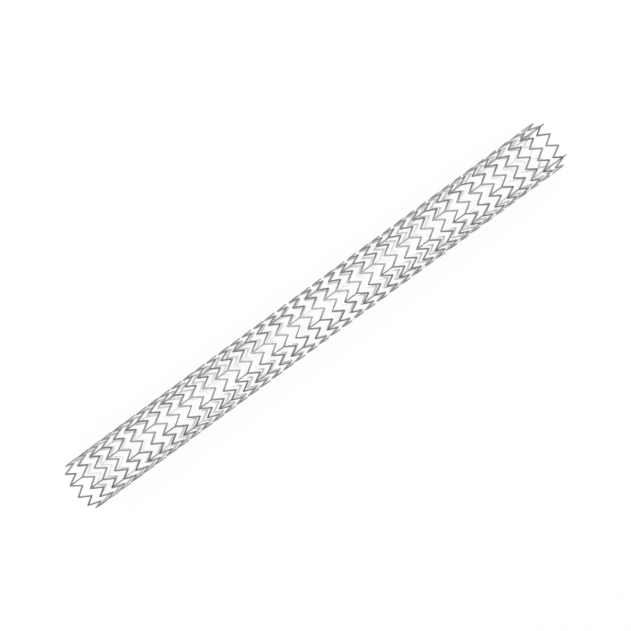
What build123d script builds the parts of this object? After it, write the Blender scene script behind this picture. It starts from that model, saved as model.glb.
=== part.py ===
"""Laser-cut vascular stent, 7 mm inside by 80 mm long, in its expanded state.

One piece of tube wall: rings of straight struts that zigzag between crowns, tied to each other by
axial links. The crowns of all rings but the last point the same way, and the last ring is turned
round so that both ends of the stent finish in the same outward crowns. The links step round the
tube by one crown from each ring to the next, so that they wind round the stent like a helix. Two
single crowns near the turned end stay free: crowns_without_link gives their ring and crown.

Each strut is a flat bar on its own flat of the tube, and meets its neighbours at the crown lines.
The stent is drawn upright, with the tube's axis on Z, and laid down along X at the end. It lies on
one of its crown lines, with the origin on the surface under the middle of the tube.
"""

from build123d import *
from math import atan2, cos, degrees, hypot, radians, tan
import os

lumen_diameter = 7.0
wall_thickness = 0.20
strut_width = 0.22
link_width = 0.18
crowns_per_ring = 12
ring_height = 1.44
ring_pitch = 2.0
ring_count = 39
end_ring_gap = 0.55
crowns_between_links = 3
crowns_without_link = [(36, 0), (37, 1)]
end_tab_length = 0.52

crown_step = 360 / crowns_per_ring
flat_step = crown_step / 2
flat_height = lumen_diameter / 2 + wall_thickness
flat_half_width = flat_height * tan(radians(flat_step / 2))
crown_line_height = hypot(flat_height, flat_half_width)
strut_slope = atan2(ring_height, 2 * flat_half_width)
strut_stock = 2 * (hypot(ring_height, 2 * flat_half_width) + strut_width)
crown_overhang = strut_width / 2 / cos(strut_slope)
last_ring_at = (ring_count - 1) * ring_pitch
end_ring_at = last_ring_at + ring_height + end_ring_gap
crowns_end_at = end_ring_at + ring_height
stent_middle = (crowns_end_at + end_tab_length - crown_overhang) / 2

flat_plane = Plane(origin=(flat_height, 0, 0), x_dir=(0, 1, 0), z_dir=(1, 0, 0))
upper_crown_plane = Plane.XZ.rotated((0, 0, flat_step / 2))
lower_crown_plane = Plane.XZ.rotated((0, 0, -flat_step / 2))
upended_plane = Plane(origin=(-stent_middle, 0, crown_line_height), x_dir=(0, 0, 1), z_dir=(1, 0, 0))
lying_plane = upended_plane.rotated((-1.5 * flat_step, 0, 0))


# One strut, from a lower crown up to an upper crown, mitred on the crown lines at its two ends
with BuildPart() as strut:
    with BuildSketch(flat_plane):
        with Locations((0, ring_height / 2)):
            Rectangle(strut_stock, strut_width, rotation=degrees(strut_slope))
    extrude(amount=-wall_thickness)
    split(bisect_by=upper_crown_plane, keep=Keep.TOP)
    split(bisect_by=lower_crown_plane, keep=Keep.BOTTOM)

# One ring: a strut and its mirror image make a V, and twelve of them close round the tube
with BuildPart() as crown:
    add(strut.part)
    mirror(about=upper_crown_plane)

with BuildPart() as ring:
    with PolarLocations(0, crowns_per_ring):
        add(crown.part)


def make_link(length):
    """A bar along the tube on the lower crown line at -flat_step / 2, bent over it as the wall is."""
    with BuildPart() as half_link:
        with BuildSketch(flat_plane):
            with Locations((-flat_half_width, 0)):
                Rectangle(link_width, length, align=(Align.CENTER, Align.MIN))
        extrude(amount=-wall_thickness)
        split(bisect_by=lower_crown_plane, keep=Keep.BOTTOM)
    with BuildPart() as link:
        add(half_link.part)
        mirror(about=lower_crown_plane)
    return link.part


def link_places(ring_index):
    """Where the links start that leave one ring: every third crown, one crown on for each ring."""
    first_crown = ring_index % crowns_between_links
    return [
        Location((0, 0, ring_index * ring_pitch), (0, 0, crown_step * crown_index))
        for crown_index in range(first_crown, crowns_per_ring, crowns_between_links)
        if (ring_index, crown_index) not in crowns_without_link
    ]


link = make_link(ring_pitch)
end_link = make_link(crowns_end_at + end_tab_length - last_ring_at)

with BuildPart(lying_plane) as stent:
    with Locations(*[(0, 0, index * ring_pitch) for index in range(ring_count)]):
        add(ring.part)
    with Locations(Location((0, 0, end_ring_at), (0, 0, flat_step))):
        add(ring.part)
    with Locations(*[place for index in range(ring_count - 1) for place in link_places(index)]):
        add(link)
    with Locations(*link_places(ring_count - 1)):
        add(end_link)
stent.part.label = "stent"

os.makedirs("parts", exist_ok=True)
export_step(stent.part, "parts/stent.step")
print("stent", len(stent.part.solids()), "solid,", round(stent.part.volume, 3), "mm3")
print("box", stent.part.bounding_box())
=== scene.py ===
import bpy
import bmesh
from math import cos, pi, radians, sin, sqrt, tan
from mathutils import Matrix, Vector


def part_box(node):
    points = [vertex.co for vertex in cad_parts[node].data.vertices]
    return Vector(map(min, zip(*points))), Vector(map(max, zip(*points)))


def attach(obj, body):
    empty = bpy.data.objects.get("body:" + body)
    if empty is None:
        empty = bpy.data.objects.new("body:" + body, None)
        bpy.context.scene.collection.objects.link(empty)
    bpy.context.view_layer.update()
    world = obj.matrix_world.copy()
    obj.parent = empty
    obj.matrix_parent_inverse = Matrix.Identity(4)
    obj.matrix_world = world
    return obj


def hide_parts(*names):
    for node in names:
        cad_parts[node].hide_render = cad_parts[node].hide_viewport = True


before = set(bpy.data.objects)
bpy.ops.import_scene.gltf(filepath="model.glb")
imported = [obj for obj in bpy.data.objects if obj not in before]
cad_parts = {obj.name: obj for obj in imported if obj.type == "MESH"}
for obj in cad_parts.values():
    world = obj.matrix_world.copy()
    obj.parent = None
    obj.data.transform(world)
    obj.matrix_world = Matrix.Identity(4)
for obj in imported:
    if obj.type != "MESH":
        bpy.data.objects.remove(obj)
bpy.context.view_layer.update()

mm = 0.001
stentLow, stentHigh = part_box("stent")
axisHeight = (stentLow.z + stentHigh.z) / 2
print("frame loaded, stent", [round(v / mm, 2) for v in stentHigh - stentLow], "mm")


# the cut tube

tube = {
    "bore": 7.0 * mm,
    "wall": 0.20 * mm,
    "crowns": 12,
    "rings": 39,
    "pitch": 2.0 * mm,
    "ringHeight": 1.44 * mm,
    "lastGap": 0.55 * mm,
    "turn": -15.0,               # degrees from the top towards the front, to the nearest upper crown
    "merge": 1e-7,
}
strut = {
    "width": 0.22 * mm,
    "edge": 0.03 * mm,           # corner polished off along the struts
    "steps": 8,
    "crowding": 1.7,             # packs the steps towards the crowns
    "outerRound": 0.06 * mm,     # rounding of a crown outside and inside its V
    "innerRound": 0.02 * mm,
}
link = {
    "width": 0.17 * mm,
    "wall": 0.19 * mm,
    "edge": 0.028 * mm,
    "steps": 8,
    "flare": 0.09 * mm,          # extra width where a link runs into a crown
    "flareLength": 0.13 * mm,
    "overlap": 0.1 * mm,         # how far a link reaches into the next crown
    "crownStep": 3,
    "free": [(36, 0), (37, 1)],  # ring and crown of the two crowns that have no link
    "tab": 0.52 * mm,            # how far the last links stand past the end ring
    "tipCrowding": 2.5,
}

outerRadius = tube["bore"] / 2 + tube["wall"]
wallRadius = tube["bore"] / 2 + tube["wall"] / 2
crownAngle = 2 * pi / tube["crowns"]
halfFlat = crownAngle / 4
halfReach = outerRadius * tan(halfFlat)
slope = tube["ringHeight"] / (2 * halfReach)
axialWidth = strut["width"] * sqrt(1 + slope * slope)
lastRing = (tube["rings"] - 1) * tube["pitch"]
turnedRing = lastRing + tube["ringHeight"] + tube["lastGap"]
crownsEnd = turnedRing + tube["ringHeight"]
firstRingX = -(crownsEnd + link["tab"] - axialWidth / 2) / 2


# place on the tube: along its axis, round it from the top towards the front, out from the axis
def onTube(along, angle, radius):
    return Vector((along, -radius * sin(angle), radius * cos(angle)))


def barStock(width, length, wall, edge, steps):
    bm = bmesh.new()
    bmesh.ops.create_cube(bm, size=1.0)
    bmesh.ops.scale(bm, verts=bm.verts, vec=(width, length, wall))
    longEdges = [e for e in bm.edges if abs(e.verts[0].co.y - e.verts[1].co.y) > length / 2]
    bmesh.ops.bevel(bm, geom=longEdges, offset=edge, affect="EDGES", segments=1, profile=0.5, material=-1)
    longEdges = [e for e in bm.edges if abs(e.verts[0].co.y - e.verts[1].co.y) > length / 2]
    bmesh.ops.subdivide_edges(bm, edges=longEdges, cuts=steps - 1, use_grid_fill=True)
    return bm


def openEnds(bm, length):
    ends = [f for f in bm.faces if all(abs(abs(v.co.y) - length / 2) < 1e-9 for v in f.verts)]
    bmesh.ops.delete(bm, geom=ends, context="FACES_ONLY")


# height of a strut's edge line over its ring's lower crowns, across from -1 to 1
def strutLine(across, lowRound, highRound):
    half = tube["ringHeight"] / 2
    if across < 0:
        return half * sqrt((1 + across) ** 2 + lowRound ** 2)
    return 2 * half - half * sqrt((1 - across) ** 2 + highRound ** 2)


def shapeStrut(bm):
    outer = strut["outerRound"] / halfReach
    inner = strut["innerRound"] / halfReach
    for v in bm.verts:
        along = abs(v.co.y)
        across = 1 - (1 - min(along, 1.0)) ** strut["crowding"]
        if v.co.y < 0:
            across = -across
        share = v.co.x / strut["width"] + 0.5
        lower = strutLine(across, outer, inner) - axialWidth / 2
        upper = strutLine(across, inner, outer) + axialWidth / 2
        v.co = onTube(lower + share * (upper - lower), (across - 1) * halfFlat, wallRadius + v.co.z)


# a strut and its mirror image make a V, and twelve of them close round the tube
def makeRing():
    bm = barStock(strut["width"], 2.0, tube["wall"], strut["edge"], strut["steps"])
    openEnds(bm, 2.0)
    shapeStrut(bm)
    half = bm.verts[:] + bm.edges[:] + bm.faces[:]
    bmesh.ops.mirror(bm, geom=half, axis="Y", merge_dist=tube["merge"])
    vee = bm.verts[:] + bm.edges[:] + bm.faces[:]
    turns = tube["crowns"] - 1
    bmesh.ops.spin(bm, geom=vee, axis=(1, 0, 0), cent=(0, 0, 0), angle=crownAngle * turns,
                   steps=turns, use_duplicate=True)
    bmesh.ops.remove_doubles(bm, verts=bm.verts, dist=tube["merge"])
    bmesh.ops.recalc_face_normals(bm, faces=bm.faces)
    return bm


# copies of the first ring along the tube, and the end ring turned round by half a crown
def addRings(bm):
    first = bm.verts[:] + bm.edges[:] + bm.faces[:]
    ringShifts = [n * tube["pitch"] for n in range(1, tube["rings"])] + [turnedRing]
    for shift in ringShifts:
        copied = bmesh.ops.duplicate(bm, geom=first)["geom"]
        verts = [part for part in copied if isinstance(part, bmesh.types.BMVert)]
        if shift == turnedRing:
            halfCrown = Matrix.Rotation(crownAngle / 2, 4, "X")
            bmesh.ops.transform(bm, matrix=halfCrown, verts=verts)
        bmesh.ops.translate(bm, verts=verts, vec=(shift, 0, 0))


# half a link's width: it widens into the crowns, or closes to a round tip at a free end
def linkHalfWidth(along, length, freeEnd):
    fromStart = max(along - axialWidth / 2, 0) / link["flareLength"]
    flare = max(1 - fromStart, 0) ** 2
    half = link["width"] / 2
    if freeEnd:
        tip = max(1 - (length - along) / half, 0)
        return half * sqrt(1 - tip * tip) + link["flare"] / 2 * flare
    toEnd = max(tube["pitch"] - axialWidth / 4 - along, 0) / link["flareLength"]
    return half + link["flare"] / 2 * (flare + max(1 - toEnd, 0) ** 2)


def addLink(bm, start, length, turn, freeEnd):
    stock = barStock(link["width"], 2.0, link["wall"], link["edge"], link["steps"])
    for v in stock.verts:
        share = (v.co.y + 1) / 2
        if freeEnd:
            share = 1 - (1 - share) ** link["tipCrowding"]
        along = share * length
        side = v.co.x / (link["width"] / 2)
        aside = side * linkHalfWidth(along, length, freeEnd)
        v.co = onTube(start + along, turn + aside / outerRadius, wallRadius + v.co.z)
    bmesh.ops.recalc_face_normals(stock, faces=stock.faces)
    piece = bpy.data.meshes.new("linkStock")
    stock.to_mesh(piece)
    stock.free()
    bm.from_mesh(piece)
    bpy.data.meshes.remove(piece)


# each gap has its links on every third crown, and each gap starts one crown further round
def addLinks(bm):
    lowerCrown = -2 * halfFlat
    for ring in range(tube["rings"]):
        freeEnd = ring == tube["rings"] - 1
        start = ring * tube["pitch"]
        length = crownsEnd + link["tab"] - start if freeEnd else tube["pitch"] + link["overlap"]
        for crown in range(ring % link["crownStep"], tube["crowns"], link["crownStep"]):
            if (ring, crown) not in link["free"]:
                addLink(bm, start, length, lowerCrown + crown * crownAngle, freeEnd)


def makeStent():
    bm = makeRing()
    addRings(bm)
    addLinks(bm)
    turn = Matrix.Rotation(radians(tube["turn"]), 3, "X")
    bmesh.ops.rotate(bm, verts=bm.verts, cent=(0, 0, 0), matrix=turn)
    bmesh.ops.translate(bm, verts=bm.verts, vec=(firstRingX, 0, axisHeight))
    mesh = bpy.data.meshes.new("stentMesh")
    bm.to_mesh(mesh)
    bm.free()
    piece = bpy.data.objects.new("stentMesh", mesh)
    bpy.context.scene.collection.objects.link(piece)
    return piece


stentMesh = makeStent()
stentMesh.data.calc_loop_triangles()
print("stent made,", len(stentMesh.data.loop_triangles), "triangles")


# metal

metal = {
    # the three face colours are painted light: one metal in three shades, painted near white on the
    # inside for its bright lit look, dark on the outside and mid grey on the cut faces
    "paintedShadeOutside": (0.25, 0.25, 0.255, 1.0),
    "paintedShadeCutFace": (0.62, 0.62, 0.625, 1.0),
    "inside": (0.86, 0.86, 0.86, 1.0),
    "outsideRoughness": 0.38,
    "insideRoughness": 0.24,
    "insideEnd": 0.14,           # where the shades meet, from facing the axis at 0 to facing away at 1
    "cutFrom": 0.3,
    "cutTo": 0.7,
    "outsideStart": 0.86,
    "grainScale": 9000,          # per metre of tube wall, so the grains are about 0.1 mm
    "grainDetail": 4,
    "grainShade": 0.1,
    "grainRoughness": 0.1,
    "grainBump": 0.5,
    "grainDepth": 0.004 * mm,
}


def node(tree, kind, place, **values):
    made = tree.nodes.new(kind)
    made.location = place
    for key, value in values.items():
        if key in made.inputs:
            made.inputs[key].default_value = value
        else:
            setattr(made, key, value)
    return made


# The wall's outer, inner and cut faces differ in polish. Their colours are painted light: the inner faces
# are painted near white for their bright lit look, the outer faces are painted dark and the cut faces mid
# grey, as lit and shaded copies of one metal. The grain is laid out over the round wall and has no depth,
# so it runs as fine lines across the cut faces, as a laser leaves them.
def makeMetal():
    material = bpy.data.materials.new("stentMetal")
    material.use_nodes = True
    tree = material.node_tree
    tree.nodes.clear()
    wire = tree.links.new
    out = node(tree, "ShaderNodeOutputMaterial", (1300, 0))
    shader = node(tree, "ShaderNodeBsdfPrincipled", (1000, 0), Metallic=1.0)
    wire(shader.outputs["BSDF"], out.inputs["Surface"])

    coords = node(tree, "ShaderNodeTexCoord", (-1100, 0))
    centred = node(tree, "ShaderNodeMapping", (-900, 0))
    centred.inputs["Location"].default_value = (0, 0, -axisHeight)
    across = node(tree, "ShaderNodeVectorMath", (-700, 0), operation="MULTIPLY")
    across.inputs[1].default_value = (0, 1, 1)
    radial = node(tree, "ShaderNodeVectorMath", (-500, 0), operation="NORMALIZE")
    surface = node(tree, "ShaderNodeNewGeometry", (-500, -200))
    facing = node(tree, "ShaderNodeVectorMath", (-300, 0), operation="DOT_PRODUCT")
    spread = node(tree, "ShaderNodeMapRange", (-100, 0))
    spread.inputs["From Min"].default_value = -1.0
    wire(coords.outputs["Object"], centred.inputs["Vector"])
    wire(centred.outputs["Vector"], across.inputs[0])
    wire(across.outputs["Vector"], radial.inputs[0])
    wire(radial.outputs["Vector"], facing.inputs[0])
    wire(surface.outputs["Normal"], facing.inputs[1])
    wire(facing.outputs["Value"], spread.inputs["Value"])

    # painted light: this ramp gives the faces towards the axis a painted near white, the cut faces a
    # painted mid grey and the outer faces a painted dark grey
    ramp = node(tree, "ShaderNodeValToRGB", (100, 0))
    stops = ramp.color_ramp
    stops.elements[0].position = metal["insideEnd"]
    stops.elements[0].color = metal["inside"]
    stops.elements[1].position = metal["outsideStart"]
    stops.elements[1].color = metal["paintedShadeOutside"]
    for place in (metal["cutFrom"], metal["cutTo"]):
        stop = stops.elements.new(place)
        stop.color = metal["paintedShadeCutFace"]
    wire(spread.outputs["Result"], ramp.inputs["Fac"])

    wallPlace = node(tree, "ShaderNodeVectorMath", (-300, -400), operation="MULTIPLY_ADD")
    wallPlace.inputs[1].default_value = (wallRadius, wallRadius, wallRadius)
    lengthwise = node(tree, "ShaderNodeVectorMath", (-500, -500), operation="MULTIPLY")
    lengthwise.inputs[1].default_value = (1, 0, 0)
    grain = node(tree, "ShaderNodeTexNoise", (-100, -400), Scale=metal["grainScale"],
                 Detail=metal["grainDetail"])
    wire(centred.outputs["Vector"], lengthwise.inputs[0])
    wire(radial.outputs["Vector"], wallPlace.inputs[0])
    wire(lengthwise.outputs["Vector"], wallPlace.inputs[2])
    wire(wallPlace.outputs["Vector"], grain.inputs["Vector"])

    shade = node(tree, "ShaderNodeMapRange", (300, -200))
    shade.inputs["To Min"].default_value = 1 - metal["grainShade"]
    shade.inputs["To Max"].default_value = 1 + metal["grainShade"]
    tinted = node(tree, "ShaderNodeVectorMath", (600, 0), operation="SCALE")
    wire(grain.outputs["Fac"], shade.inputs["Value"])
    wire(ramp.outputs["Color"], tinted.inputs[0])
    wire(shade.outputs["Result"], tinted.inputs["Scale"])
    wire(tinted.outputs["Vector"], shader.inputs["Base Color"])

    polish = node(tree, "ShaderNodeMapRange", (300, -450))
    polish.inputs["To Min"].default_value = metal["insideRoughness"]
    polish.inputs["To Max"].default_value = metal["outsideRoughness"]
    worn = node(tree, "ShaderNodeMath", (600, -300), operation="MULTIPLY_ADD")
    worn.inputs[1].default_value = metal["grainRoughness"]
    wire(spread.outputs["Result"], polish.inputs["Value"])
    wire(grain.outputs["Fac"], worn.inputs[0])
    wire(polish.outputs["Result"], worn.inputs[2])
    wire(worn.outputs["Value"], shader.inputs["Roughness"])

    bump = node(tree, "ShaderNodeBump", (600, -550), Strength=metal["grainBump"],
                Distance=metal["grainDepth"])
    wire(grain.outputs["Fac"], bump.inputs["Height"])
    wire(bump.outputs["Normal"], shader.inputs["Normal"])
    return material


stentMesh.data.materials.append(makeMetal())
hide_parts("stent")
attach(stentMesh, "root")
print("metal set")


# floor, light and camera

floor = {
    "size": 1.2,
    "glow": 0.87,
    "paper": 0.8,
    "seenPaper": 0.12,           # share of the light on the floor that shows, so shadows stay faint
}
room = {
    "brightWay": (0, -0.1, 0.995),   # straight up, and a little to the front
    "dark": 0.36,
    "bright": 1.35,
    "falloff": 2.5,
}
lamp = {
    "watts": 0.75,
    "size": 0.3,
    "distance": 0.4,
    "height": 54,                # degrees over the floor, behind the stent
}
camera = {
    "pixel": 0.1385 * mm,        # size of a photo pixel at the tube's axis
    "distance": 691.2,           # in pixels, as is the next
    "acrossOffset": -0.35,
    "tilt": 0.51,                # degrees from straight above towards the front, less the tube's turn
    "bank": 36.25,               # degrees that the tube climbs to the right
    "nearing": 0.137,            # degrees that the turned end comes forward
    "frame": 631,
    "sensor": 36.0,
    "nearest": 0.001,
    "farthest": 10,
}


def grey(level):
    return (level, level, level, 1)


# the camera and the metal see white paper with faint shadows, and other light meets plain paper
def makeFloor():
    bm = bmesh.new()
    bmesh.ops.create_grid(bm, x_segments=1, y_segments=1, size=floor["size"] / 2)
    mesh = bpy.data.meshes.new("floor")
    bm.to_mesh(mesh)
    bm.free()
    piece = bpy.data.objects.new("floor", mesh)
    bpy.context.scene.collection.objects.link(piece)
    material = bpy.data.materials.new("floorWhite")
    material.use_nodes = True
    tree = material.node_tree
    tree.nodes.clear()
    out = node(tree, "ShaderNodeOutputMaterial", (600, 0))
    paper = node(tree, "ShaderNodeBsdfDiffuse", (0, 0))
    paper.inputs["Color"].default_value = grey(floor["paper"])
    shown = node(tree, "ShaderNodeBsdfDiffuse", (0, -200))
    shown.inputs["Color"].default_value = grey(floor["seenPaper"])
    white = node(tree, "ShaderNodeEmission", (0, -400), Color=grey(1), Strength=floor["glow"])
    mixed = node(tree, "ShaderNodeAddShader", (200, -200))
    paths = node(tree, "ShaderNodeLightPath", (-200, 300))
    seen = node(tree, "ShaderNodeMath", (0, 300), operation="MAXIMUM")
    seenToo = node(tree, "ShaderNodeMath", (200, 300), operation="MAXIMUM")
    pick = node(tree, "ShaderNodeMixShader", (400, 0))
    wire = tree.links.new
    wire(paths.outputs["Is Camera Ray"], seen.inputs[0])
    wire(paths.outputs["Is Glossy Ray"], seen.inputs[1])
    wire(seen.outputs[0], seenToo.inputs[0])
    wire(paths.outputs["Is Transmission Ray"], seenToo.inputs[1])
    wire(seenToo.outputs[0], pick.inputs["Fac"])
    wire(paper.outputs["BSDF"], pick.inputs[1])
    wire(shown.outputs["BSDF"], mixed.inputs[0])
    wire(white.outputs["Emission"], mixed.inputs[1])
    wire(mixed.outputs["Shader"], pick.inputs[2])
    wire(pick.outputs["Shader"], out.inputs["Surface"])
    piece.data.materials.append(material)


# a plain room that is brightest overhead
def makeWorld():
    world = bpy.data.worlds.new("room")
    world.use_nodes = True
    tree = world.node_tree
    wire = tree.links.new
    background = tree.nodes["Background"]
    background.inputs["Color"].default_value = grey(1)
    coords = node(tree, "ShaderNodeTexCoord", (-800, 0))
    way = node(tree, "ShaderNodeVectorMath", (-600, 0), operation="DOT_PRODUCT")
    way.inputs[1].default_value = room["brightWay"]
    ahead = node(tree, "ShaderNodeMath", (-400, 0), operation="MAXIMUM")
    ahead.inputs[1].default_value = 0.0
    curve = node(tree, "ShaderNodeMath", (-200, 0), operation="POWER")
    curve.inputs[1].default_value = room["falloff"]
    level = node(tree, "ShaderNodeMapRange", (0, 0))
    level.inputs["To Min"].default_value = room["dark"]
    level.inputs["To Max"].default_value = room["bright"]
    wire(coords.outputs["Generated"], way.inputs[0])
    wire(way.outputs["Value"], ahead.inputs[0])
    wire(ahead.outputs["Value"], curve.inputs[0])
    wire(curve.outputs["Value"], level.inputs["Value"])
    wire(level.outputs["Result"], background.inputs["Strength"])
    bpy.context.scene.world = world


def makeLamp():
    data = bpy.data.lights.new("softbox", "AREA")
    data.shape = "SQUARE"
    data.size = lamp["size"]
    data.energy = lamp["watts"]
    holder = bpy.data.objects.new("softbox", data)
    bpy.context.scene.collection.objects.link(holder)
    height = radians(lamp["height"])
    way = Vector((0, cos(height), sin(height)))
    holder.location = way * lamp["distance"]
    holder.rotation_euler = way.to_track_quat("Z", "Y").to_euler()


def makeCamera():
    tilt = radians(camera["tilt"] + tube["turn"])
    bank = radians(camera["bank"])
    nearing = radians(camera["nearing"])
    towards = Vector((0, -sin(tilt), cos(tilt)))
    across = Vector((0, -cos(tilt), -sin(tilt)))
    along = Vector((1, 0, 0))
    tubeWay = cos(nearing) * along - sin(nearing) * towards
    back = sin(nearing) * along + cos(nearing) * towards
    right = cos(bank) * tubeWay + sin(bank) * across
    up = sin(bank) * tubeWay - cos(bank) * across
    data = bpy.data.cameras.new("camera")
    data.sensor_fit = "HORIZONTAL"
    data.sensor_width = camera["sensor"]
    data.lens = data.sensor_width * camera["distance"] / camera["frame"]
    data.clip_start = camera["nearest"]
    data.clip_end = camera["farthest"]
    holder = bpy.data.objects.new("camera", data)
    bpy.context.scene.collection.objects.link(holder)
    turn = Matrix((right, up, back)).transposed().to_4x4()
    aim = Vector((0, 0, axisHeight))
    aim -= camera["acrossOffset"] * camera["pixel"] * across
    turn.translation = aim + back * camera["distance"] * camera["pixel"]
    holder.matrix_world = turn
    bpy.context.scene.camera = holder


makeFloor()
makeWorld()
makeLamp()
makeCamera()
bpy.context.scene.view_settings.view_transform = "Standard"
print("floor, light and camera set")
